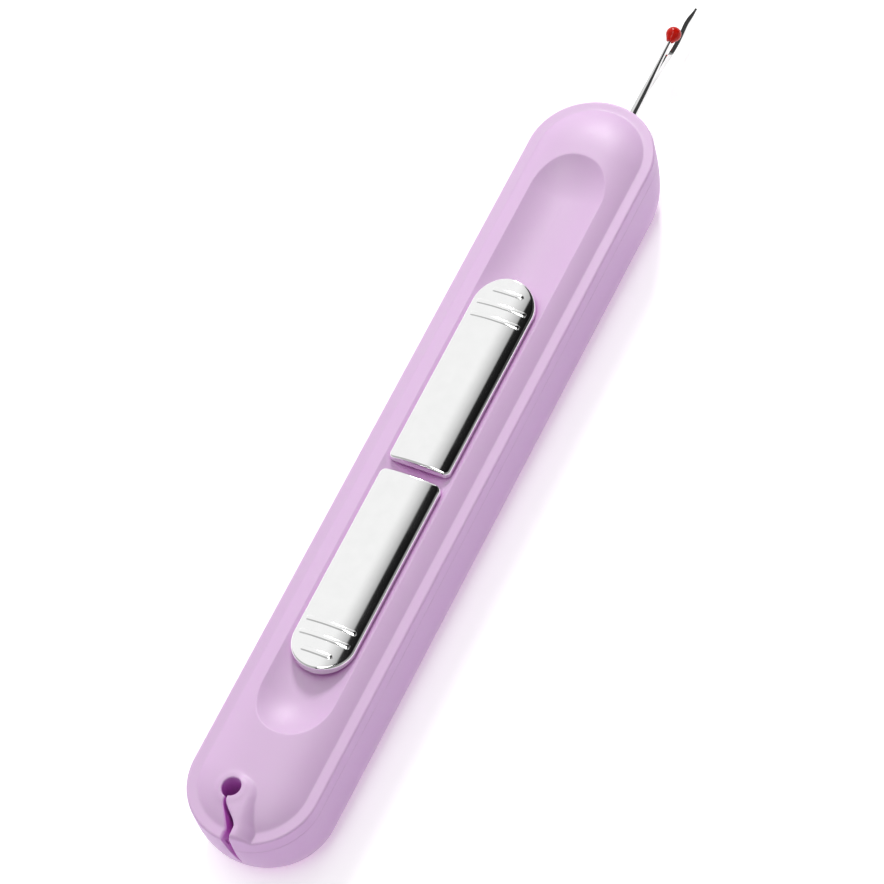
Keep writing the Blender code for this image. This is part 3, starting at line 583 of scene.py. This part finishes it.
PLATE_HALF = PLATE_HIGH[1]
PLATE_LENGTH = PLATE_HIGH[0] - PLATE_LOW[0]
PLATE_TOP = 2.57
PLATE_SAG = 0.7
PLATE_BOTTOM = 0.92
PLATE_CORNER = 0.9
PLATE_EDGE = 0.35
PLATE_POCKET = (3.4, 1.6)
RIB_HALF_WIDTH = 0.42
RIB_HEIGHT = 0.15
RIBS = ((7.3, 4.12), (5.05, 4.12), (2.55, 2.55))


def plate_plan(inset):
    """Outline of a plate in plan: small corners at its inner end at x = 0, half-round at the far end."""
    half = PLATE_HALF - inset
    corner = max(0.04, PLATE_CORNER - inset)
    centre = PLATE_LENGTH - PLATE_HALF
    arc = np.linspace(-math.pi / 2, math.pi / 2, 97)
    side = np.linspace(0, 1, 62)[1:-1]
    turn = np.linspace(math.pi / 2, math.pi, 9)
    edge = np.linspace(1, -1, 27)[1:-1]
    far_x = centre + half * np.cos(arc)
    far_y = half * np.sin(arc)
    near_x = inset + corner * (1 + np.cos(turn))
    near_y = half - corner + corner * np.sin(turn)
    side_x = centre + (near_x[0] - centre) * side
    x = np.concatenate([far_x, side_x, near_x, np.full(edge.size, inset), near_x[::-1], side_x[::-1]])
    y = np.concatenate([far_y, np.full(side.size, half), near_y, (half - corner) * edge, -near_y[::-1],
                        np.full(side.size, -half)])
    return x, y


def crown_of_plate(y):
    return PLATE_TOP - PLATE_SAG * (y / PLATE_HALF) ** 2


def rib(middle):
    """A grip rib: a rounded bar bent over the plate's crown, fading at both ends."""
    x_middle, half_length = middle
    turns = np.linspace(0, math.pi, 15)
    rings = []
    for y in np.linspace(-half_length, half_length, 61):
        to_end = half_length - abs(y)
        share = math.sqrt(max(0.0, 1 - max(0.0, 1 - to_end / RIB_HALF_WIDTH) ** 2))
        width = RIB_HALF_WIDTH * (0.25 + 0.75 * share)
        height = RIB_HEIGHT * (0.1 + 0.9 * share)
        feet = [x_middle - width * 0.9, x_middle + width * 0.9]
        x = np.concatenate([x_middle + width * np.cos(turns), feet])
        lift = np.concatenate([height * np.sin(turns) ** 0.8 - 0.02, [-0.3, -0.3]])
        rings.append(points_at(x, y, crown_of_plate(y) + lift))
    return loft(rings, "rib")


def thumb_plate(name, material, inner, outward, body, node):
    rings = []
    for inset, drop in [(0.0, None)] + [(PLATE_EDGE * (1 - math.cos(turn)), PLATE_EDGE * (1 - math.sin(turn)))
                                        for turn in np.linspace(0, math.pi / 2, 8)]:
        x, y = plate_plan(inset)
        top = np.full(x.size, PLATE_BOTTOM) if drop is None else crown_of_plate(y) - drop
        rings.append(points_at(x, y, top))
    for inset in np.linspace(PLATE_EDGE, PLATE_HALF - 0.12, 32)[1:]:
        x, y = plate_plan(inset)
        rings.append(points_at(x, y, crown_of_plate(y)))
    plate = loft(rings, name)
    half, ceiling = PLATE_POCKET
    cut(plate, box((1.2, PLATE_LENGTH - 4.5), (-half, half), (PLATE_BOTTOM - 1, ceiling)))
    join(plate, *[rib((PLATE_LENGTH - offset, half_length)) for offset, half_length in RIBS])
    settle(plate)
    move = Matrix.Translation((inner * MM, 0, 0)) @ Matrix.Diagonal((outward, 1, 1, 1))
    plate.data.transform(move)
    if outward < 0:
        plate.data.flip_normals()
    return finished(plate, name, material, "chrome", body, node, sharp=40)


# ---------------------------------------------------------------- seam ripper

BLADE_HALF = 0.3
CROSS_HOLE_X = 55.0
CROSS_HOLE_RADIUS = 0.45
BALL_X = 84.57
BALL_HEIGHT = -6.9
BALL_RADIUS = 1.2
BALL_NECK = 1.26
GRIND_SLOPE = 0.26
POINT_START = 89.3
POINT_LENGTH = 2.9
POINT_THINNING = 0.5

# Stations along the stem and short tine: x, height of the middle, half height, half width
STEM_SHAPE = ((53.0, -7.55, 0.67, 0.67), (70.0, -7.55, 0.67, 0.67), (74.0, -7.5, 0.66, 0.60),
              (77.0, -7.35, 0.56, 0.46), (80.0, -7.15, 0.46, 0.36), (82.4, -6.98, 0.38, 0.31),
              (84.5, -6.9, 0.30, 0.28))

# Stations along the long tine: x, height of its belly, height of its top
TINE_SHAPE = ((71.0, -8.05, -7.5), (74.0, -8.33, -7.5), (77.0, -9.0, -7.5), (79.9, -9.53, -7.6),
              (81.6, -9.83, -8.0), (82.6, -9.97, -9.25), (83.6, -10.08, -9.55), (84.7, -10.2, -9.63),
              (86.1, -10.35, -9.56), (87.4, -10.45, -9.38), (88.4, -10.49, -9.23), (89.7, -10.5, -9.43),
              (91.1, -10.44, -9.85), (92.15, -10.34, -10.06))


def stem_and_tine():
    """The round stem, flattening into the short upper tine that ends inside the ball."""
    shape = np.array(STEM_SHAPE)
    stations = np.linspace(shape[0, 0], shape[-1, 0], 140)
    middle, half_height, half_width = [smooth_through(shape[:, 0], shape[:, column], stations)
                                       for column in (1, 2, 3)]
    turns = np.linspace(0, 2 * math.pi, 65)[:-1]
    rings = []
    for x, z, tall, wide in zip(stations, middle, half_height, half_width):
        rings.append(points_at(np.full(turns.size, x), wide * np.cos(turns), z + tall * np.sin(turns)))
    return loft(rings, "stem")


def long_tine():
    """The flat of the fork and its long tine, which runs out to the point.

    Its top is ground to a slope that faces -Y.
    """
    shape = np.array(TINE_SHAPE)
    stations = np.linspace(shape[0, 0], shape[-1, 0], 240)
    belly = smooth_through(shape[:, 0], shape[:, 1], stations)
    top = smooth_through(shape[:, 0], shape[:, 2], stations)
    rings = []
    for x, low, high in zip(stations, belly, top):
        half = BLADE_HALF * (1 - POINT_THINNING * float(smoothstep((x - POINT_START) / POINT_LENGTH)))
        grind = GRIND_SLOPE * half / BLADE_HALF
        soft = 0.08 * min(1.0, (high - low) / 0.4)
        section = [(-half, low + soft), (-half, high - grind), (-0.5 * half, high - 0.75 * grind),
                   (0.5 * half, high - 0.25 * grind), (half, high), (half, low + soft),
                   (0.65 * half, low), (-0.65 * half, low)]
        rings.append([place(x, y, z) for y, z in section])
    return loft(rings, "long_tine")


def smooth_through(xs, ys, at):
    """Values of a smooth curve through a few points (cubic Hermite with centred slopes)."""
    slopes = np.gradient(ys, xs)
    index = np.clip(np.searchsorted(xs, at) - 1, 0, len(xs) - 2)
    width = xs[index + 1] - xs[index]
    t = (at - xs[index]) / width
    start = (2 * t ** 3 - 3 * t ** 2 + 1) * ys[index] + (t ** 3 - 2 * t ** 2 + t) * width * slopes[index]
    end = (-2 * t ** 3 + 3 * t ** 2) * ys[index + 1] + (t ** 3 - t ** 2) * width * slopes[index + 1]
    return start + end


def ripper_blade(material):
    blade = stem_and_tine()
    join(blade, long_tine())
    cut(blade, rod((CROSS_HOLE_X, 0, -9.2), (CROSS_HOLE_X, 0, -5), CROSS_HOLE_RADIUS, 24))
    return finished(blade, "ripper_blade_ground", material, "polished_steel", "ripper", "ripper_blade",
                    sharp=28)


def ripper_ball(material):
    """The glossy ball, drawn out along the tine to a straight-sided neck where the enamel ends."""
    turns = np.linspace(0, 2 * math.pi, 65)[:-1]
    meet = math.radians(52)
    cone_start, cone_radius = -BALL_NECK + 0.08, 0.5
    profile = [(-BALL_NECK, 0.30), (-BALL_NECK + 0.02, 0.42), (cone_start, cone_radius)]
    meet_x, meet_radius = -math.cos(meet), math.sin(meet)
    for share in np.linspace(0.15, 0.9, 8):
        profile.append((cone_start + (meet_x - cone_start) * share,
                        cone_radius + (meet_radius - cone_radius) * share ** 1.15))
    for angle in np.linspace(meet, math.pi - 0.03, 44):
        profile.append((-math.cos(angle), math.sin(angle)))
    rings = []
    for along, radius in profile:
        lift = 0.09 * max(0.0, -along - 0.5)
        rings.append(points_at(np.full(turns.size, BALL_X + BALL_RADIUS * along),
                               BALL_RADIUS * radius * np.cos(turns),
                               BALL_HEIGHT + lift + BALL_RADIUS * radius * np.sin(turns)))
    bead = loft(rings, "ball")
    return finished(bead, "ripper_ball_enamel", material, "red_gloss", "ripper", "ripper_ball", sharp=60)


# ---------------------------------------------------------------- return spring

SPRING_TURNS = 9
SPRING_WIRE = 0.19


def return_spring(material):
    """The coil behind the lower carriage. The real one shortens towards its stop as the carriage moves out; this
    one is built at one fixed length and stays with the body.
    """
    low, high = corners("return_spring")
    middle_y = (low[1] + high[1]) / 2
    middle_z = (low[2] + high[2]) / 2 - LEDGE_HEIGHT
    radius = (high[1] - low[1]) / 2 - SPRING_WIRE - 0.01
    start = np.array([high[0] - SPRING_WIRE, middle_y, middle_z])
    advance = -(high[0] - low[0] - 2 * SPRING_WIRE) / (2 * math.pi * SPRING_TURNS)
    turns = np.linspace(0, 2 * math.pi, 13)[:-1]
    rings = []
    for angle in np.linspace(0, 2 * math.pi * SPRING_TURNS, SPRING_TURNS * 40 + 1):
        outwards = np.array([0.0, math.cos(angle), math.sin(angle)])
        along = np.array([advance, -radius * math.sin(angle), radius * math.cos(angle)])
        sideways = np.cross(along / np.linalg.norm(along), outwards)
        centre = start + outwards * radius + np.array([advance * angle, 0.0, 0.0])
        ring = centre + SPRING_WIRE * (np.cos(turns)[:, None] * outwards + np.sin(turns)[:, None] * sideways)
        rings.append(points_at(ring[:, 0], ring[:, 1], ring[:, 2]))
    coil = finished(loft(rings, "coil"), "return_spring_coil", material, "spring_steel", "body",
                    "return_spring")
    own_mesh(coil)
    return coil


# ---------------------------------------------------------------- materials

def new_material(name):
    material = bpy.data.materials.new(name)
    material.use_nodes = True
    return material, material.node_tree, material.node_tree.nodes["Principled BSDF"]


def noise(tree, scale, detail=3.0, stretch=(1, 1, 1)):
    """Noise over the object's own coordinates, stretched along one of them where asked."""
    coordinates = tree.nodes.new("ShaderNodeTexCoord")
    mapping = tree.nodes.new("ShaderNodeMapping")
    mapping.inputs["Scale"].default_value = stretch
    texture = tree.nodes.new("ShaderNodeTexNoise")
    texture.inputs["Scale"].default_value = scale
    texture.inputs["Detail"].default_value = detail
    tree.links.new(coordinates.outputs["Object"], mapping.inputs["Vector"])
    tree.links.new(mapping.outputs["Vector"], texture.inputs["Vector"])
    return texture.outputs["Fac"]


def mapped(tree, value, low, high):
    """Noise values spread over low to high."""
    spread = tree.nodes.new("ShaderNodeMapRange")
    spread.inputs["From Min"].default_value = 0.3
    spread.inputs["From Max"].default_value = 0.7
    spread.inputs["To Min"].default_value = low
    spread.inputs["To Max"].default_value = high
    tree.links.new(value, spread.inputs["Value"])
    return spread.outputs["Result"]


def painted_crease_shade(tree, colour, deep, reach):
    """Paints shade into narrow recesses: blends a colour towards a deeper, darker one where ambient occlusion
    finds the surface enclosed.
    """
    cover = tree.nodes.new("ShaderNodeAmbientOcclusion")
    cover.inputs["Distance"].default_value = reach
    cover.samples = 8
    blend = tree.nodes.new("ShaderNodeMix")
    blend.data_type = "RGBA"
    span = tree.nodes.new("ShaderNodeMapRange")
    span.inputs["From Min"].default_value = CREASE_SHADE_OPENNESS[0]
    span.inputs["From Max"].default_value = CREASE_SHADE_OPENNESS[1]
    tree.links.new(cover.outputs["AO"], span.inputs["Value"])
    blend.inputs[6].default_value = (*deep, 1.0)
    tree.links.new(span.outputs["Result"], blend.inputs[0])
    tree.links.new(colour, blend.inputs[7])
    return blend.outputs[2]


def arithmetic(tree, operation, first, second=0.0):
    node = tree.nodes.new("ShaderNodeMath")
    node.operation = operation
    for socket, value in zip(node.inputs, (first, second)):
        if isinstance(value, float):
            socket.default_value = value
        else:
            tree.links.new(value, socket)
    return node.outputs[0]


def painted_wall_shade(tree, colour, deep):
    """Paints shade on upright walls: blends a colour towards a deeper one where the surface stands upright."""
    geometry = tree.nodes.new("ShaderNodeNewGeometry")
    split = tree.nodes.new("ShaderNodeSeparateXYZ")
    tree.links.new(geometry.outputs["Normal"], split.inputs["Vector"])
    blend = tree.nodes.new("ShaderNodeMix")
    blend.data_type = "RGBA"
    tree.links.new(arithmetic(tree, "ABSOLUTE", split.outputs["Z"]), blend.inputs[0])
    blend.inputs[6].default_value = (*deep, 1.0)
    tree.links.new(colour, blend.inputs[7])
    return blend.outputs[2]


def mixed(tree, factor, first, second):
    blend = tree.nodes.new("ShaderNodeMix")
    blend.data_type = "RGBA"
    for socket, colour in ((6, first), (7, second)):
        blend.inputs[socket].default_value = (*colour, 1.0)
    tree.links.new(factor, blend.inputs[0])
    return blend.outputs[2]


def add_bump(tree, shader, height, distance, strength=1.0):
    bump = tree.nodes.new("ShaderNodeBump")
    bump.inputs["Strength"].default_value = strength
    bump.inputs["Distance"].default_value = distance
    tree.links.new(height, bump.inputs["Height"])
    tree.links.new(bump.outputs["Normal"], shader.inputs["Normal"])


LILAC_DEEP = (0.640, 0.447, 0.660)
LILAC_LIGHT = (0.655, 0.462, 0.675)
# Painted shade in narrow recesses: the deeper purple, how far the occlusion looks, and how enclosed a place must
# be to take it
LILAC_CREASE_SHADE = (0.72, 0.19, 0.72)
CREASE_SHADE_REACH = 0.0035
CREASE_SHADE_OPENNESS = (0.12, 0.68)
# Painted shade on upright walls: the deeper purple they get as if they stood in shade
LILAC_WALL_SHADE = (0.650, 0.395, 0.700)


def lilac_plastic():
    """Satin moulded plastic: faint flow marks in the colour, painted shade on upright walls and in narrow
    recesses, and a fine spark-eroded grain.
    """
    material, tree, shader = new_material("lilac_plastic_satin")
    flow = mapped(tree, noise(tree, 60, 2.0, (0.35, 1, 1)), 0, 1)
    face = mixed(tree, flow, LILAC_DEEP, LILAC_LIGHT)
    # Painted shade on the upright walls and in narrow recesses, laid over the flow marks
    colour = painted_crease_shade(tree, painted_wall_shade(tree, face, LILAC_WALL_SHADE), LILAC_CREASE_SHADE, CREASE_SHADE_REACH)
    tree.links.new(colour, shader.inputs["Base Color"])
    roughness = mapped(tree, noise(tree, 2500, 2.0), 0.40, 0.47)
    tree.links.new(roughness, shader.inputs["Roughness"])
    shader.inputs["Subsurface Weight"].default_value = 0.2
    shader.inputs["Subsurface Radius"].default_value = (1.0, 0.5, 1.0)
    shader.inputs["Subsurface Scale"].default_value = 0.0010
    shader.inputs["IOR"].default_value = 1.49
    add_bump(tree, shader, noise(tree, 9000, 2.0), 0.000006)
    return material


def metal(name, dark, light, roughness, grain_scale, stretch, bump_distance):
    """Bare or plated metal with a drawn or polished grain."""
    material, tree, shader = new_material(name)
    grain = noise(tree, grain_scale, 4.0, stretch)
    tree.links.new(mixed(tree, mapped(tree, grain, 0, 1), dark, light), shader.inputs["Base Color"])
    broad = noise(tree, grain_scale * 0.35, 3.0, stretch)
    tree.links.new(mapped(tree, broad, *roughness), shader.inputs["Roughness"])
    shader.inputs["Metallic"].default_value = 1.0
    add_bump(tree, shader, grain, bump_distance)
    return material


def plain_plastic(name, dark, light, roughness, grain):
    material, tree, shader = new_material(name)
    cloud = mapped(tree, noise(tree, 400, 3.0), 0, 1)
    tree.links.new(mixed(tree, cloud, dark, light), shader.inputs["Base Color"])
    tree.links.new(mapped(tree, noise(tree, 3000, 2.0), *roughness), shader.inputs["Roughness"])
    add_bump(tree, shader, noise(tree, 7000, 3.0), grain)
    return material


def red_enamel():
    material, tree, shader = new_material("red_enamel_gloss")
    cloud = mapped(tree, noise(tree, 900, 2.0), 0, 1)
    tree.links.new(mixed(tree, cloud, (0.46, 0.007, 0.003), (0.53, 0.009, 0.004)), shader.inputs["Base Color"])
    tree.links.new(mapped(tree, noise(tree, 1500, 2.0), 0.08, 0.16), shader.inputs["Roughness"])
    shader.inputs["Specular IOR Level"].default_value = 0.18
    add_bump(tree, shader, noise(tree, 1200, 2.0), 0.000002)
    return material


along_x = (0.04, 1, 1)
even = (1, 1, 1)
looks = {
    "lilac_plastic": lilac_plastic(),
    "chrome": metal("chrome_plate", (0.925, 0.928, 0.925), (0.95, 0.952, 0.95), (0.045, 0.075),
                    500, even, 0.0000003),
    "polished_steel": metal("steel_drawn", (0.66, 0.66, 0.66), (0.76, 0.76, 0.76), (0.10, 0.16),
                            9000, along_x, 0.0000001),
    "spring_steel": metal("steel_tempered", (0.40, 0.41, 0.43), (0.52, 0.53, 0.55), (0.22, 0.34),
                          7000, along_x, 0.000003),
    "brass": metal("brass_cut", (0.74, 0.55, 0.25), (0.84, 0.66, 0.33), (0.22, 0.32),
                   6000, even, 0.000003),
    "white_acetal": plain_plastic("acetal_natural", (0.80, 0.80, 0.77), (0.88, 0.88, 0.86),
                                  (0.38, 0.48), 0.000006),
    "grey_nylon": plain_plastic("nylon_grey", (0.30, 0.29, 0.33), (0.38, 0.37, 0.41),
                                (0.45, 0.58), 0.00001),
    "red_gloss": red_enamel(),
}


def finish_cad_nodes():
    """Gives each CAD node the material of its slot."""
    for part in frame["record"]["subparts"]:
        node = frame["nodes"][part["node"]]
        node.data.materials.clear()
        node.data.materials.append(looks[part["material_slot"]])


# ---------------------------------------------------------------- floor, light and camera

def floor():
    """A pale floor under the flat back, wide enough to fill every view."""
    material, tree, shader = new_material("pale_floor")
    cloud = mapped(tree, noise(tree, 25, 3.0), 0, 1)
    tree.links.new(mixed(tree, cloud, (0.905, 0.905, 0.905), (0.91, 0.91, 0.91)), shader.inputs["Base Color"])
    tree.links.new(mapped(tree, noise(tree, 300, 2.0), 0.75, 0.85), shader.inputs["Roughness"])
    shader.inputs["Specular IOR Level"].default_value = 0.1
    shader.inputs["Emission Color"].default_value = (1.0, 1.0, 1.0, 1.0)
    shader.inputs["Emission Strength"].default_value = 0.36
    bm = bmesh.new()
    bmesh.ops.create_grid(bm, x_segments=8, y_segments=8, size=4.0)
    bmesh.ops.translate(bm, vec=(0, 0, -0.0001), verts=bm.verts)
    obj = object_from(bm, "pale_floor")
    tools.objects.unlink(obj)
    product.objects.link(obj)
    obj.data.materials.append(material)


def softbox(name, direction, distance, size, energy):
    """A softbox that faces the object from a direction."""
    light = bpy.data.lights.new(name, "AREA")
    light.shape = "RECTANGLE"
    light.size = size[0]
    light.size_y = size[1]
    light.energy = energy
    lamp = bpy.data.objects.new(name, light)
    spot = Vector(direction).normalized() * distance
    lamp.location = spot
    lamp.rotation_euler = (-spot).to_track_quat("-Z", "Y").to_euler()
    bpy.context.scene.collection.objects.link(lamp)
    return lamp


# The dark gap along the ceiling, as angles from overhead towards -Y: where it starts, is full, and ends
BAND = (-17.0, -1.2, 10.0, 17.0)
BAND_BEFORE = 0.62
BAND_LEVEL = 0.04

# Brightness of the studio's four quarters, by the signs of x and y
QUARTERS = {"+x+y": 0.95, "-x+y": 0.45, "+x-y": 0.06, "-x-y": 0.28}


def ramped(tree, value, start, end, low, high):
    """A smooth step of a value from low to high, or back."""
    edge = tree.nodes.new("ShaderNodeMapRange")
    edge.interpolation_type = "SMOOTHSTEP"
    edge.inputs["From Min"].default_value = start
    edge.inputs["From Max"].default_value = end
    edge.inputs["To Min"].default_value = low
    edge.inputs["To Max"].default_value = high
    tree.links.new(value, edge.inputs["Value"])
    return edge.outputs["Result"]


def studio_world():
    """A white studio in four quarters, with a dark gap along the ceiling over the object."""
    world = bpy.data.worlds.new("studio")
    world.use_nodes = True
    bpy.context.scene.world = world
    tree = world.node_tree
    tree.nodes.clear()
    coordinates = tree.nodes.new("ShaderNodeTexCoord")
    split = tree.nodes.new("ShaderNodeSeparateXYZ")
    tree.links.new(coordinates.outputs["Generated"], split.inputs["Vector"])
    x, y, z = split.outputs
    angle = arithmetic(tree, "ARCTAN2", arithmetic(tree, "MULTIPLY", y, -1.0), z)
    shaded = ramped(tree, angle, math.radians(BAND[0]), math.radians(BAND[1]), 1.0, BAND_BEFORE)
    card = ramped(tree, angle, math.radians(BAND[1]), math.radians(BAND[1] + 1.5), 1.0, BAND_LEVEL)
    beyond = ramped(tree, angle, math.radians(BAND[2]), math.radians(BAND[3]), 0.0, 1.0)
    gap = arithmetic(tree, "MAXIMUM", arithmetic(tree, "MULTIPLY", shaded, card), beyond)
    front = ramped(tree, y, 0.12, -0.2, QUARTERS["+x+y"], QUARTERS["+x-y"])
    back = ramped(tree, y, 0.12, -0.2, QUARTERS["-x+y"], QUARTERS["-x-y"])
    share = ramped(tree, x, -0.1, 0.1, 0.0, 1.0)
    rest = arithmetic(tree, "SUBTRACT", 1.0, share)
    level = arithmetic(tree, "ADD", arithmetic(tree, "MULTIPLY", front, share),
                       arithmetic(tree, "MULTIPLY", back, rest))
    background = tree.nodes.new("ShaderNodeBackground")
    background.inputs["Color"].default_value = (1.0, 1.0, 1.0, 1.0)
    output = tree.nodes.new("ShaderNodeOutputWorld")
    tree.links.new(arithmetic(tree, "MULTIPLY", level, gap), background.inputs["Strength"])
    tree.links.new(background.outputs[0], output.inputs["Surface"])


CAMERA_PLACE = (-0.25497, -0.23551, 0.57098)
CAMERA_AIM = (0.003158, -0.000825, 0.0130)
CAMERA_LENS = 183.875
CAMERA_ROLL = math.radians(18.92)


def add_camera():
    data = bpy.data.cameras.new("camera")
    data.lens = CAMERA_LENS
    data.sensor_width = 36.0
    data.clip_end = 20.0
    camera = bpy.data.objects.new("camera", data)
    camera.location = CAMERA_PLACE
    towards = Vector(CAMERA_AIM) - Vector(CAMERA_PLACE)
    turn = towards.to_track_quat("-Z", "Y").to_matrix().to_4x4() @ Matrix.Rotation(-CAMERA_ROLL, 4, "Z")
    camera.rotation_euler = turn.to_euler()
    bpy.context.scene.collection.objects.link(camera)
    bpy.context.scene.camera = camera


# ---------------------------------------------------------------- build

bpy.context.scene.view_settings.view_transform = "Standard"
finish_cad_nodes()
front_shell(looks["lilac_plastic"])
rear_shell(looks["lilac_plastic"])
thumb_plate("upper_plate_polished", looks["chrome"], PLATE_LOW[0], 1,
            "upper_carriage", "upper_thumb_plate")
thumb_plate("lower_plate_polished", looks["chrome"], LOWER_PLATE_INNER, -1,
            "lower_carriage", "lower_thumb_plate")
ripper_blade(looks["polished_steel"])
ripper_ball(looks["red_gloss"])
return_spring(looks["spring_steel"])
for obj in list(tools.objects):
    bpy.data.objects.remove(obj, do_unlink=True)
floor()
studio_world()
softbox("key", (0.72, 0.27, 0.64), 1.2, (0.20, 0.26), 7.6)
softbox("overhead", (-0.14, -0.03, 1.0), 1.2, (0.30, 0.90), 4.9)
softbox("side_fill", (0.10, -0.80, 0.50), 1.2, (0.8, 0.8), 0.6)
add_camera()
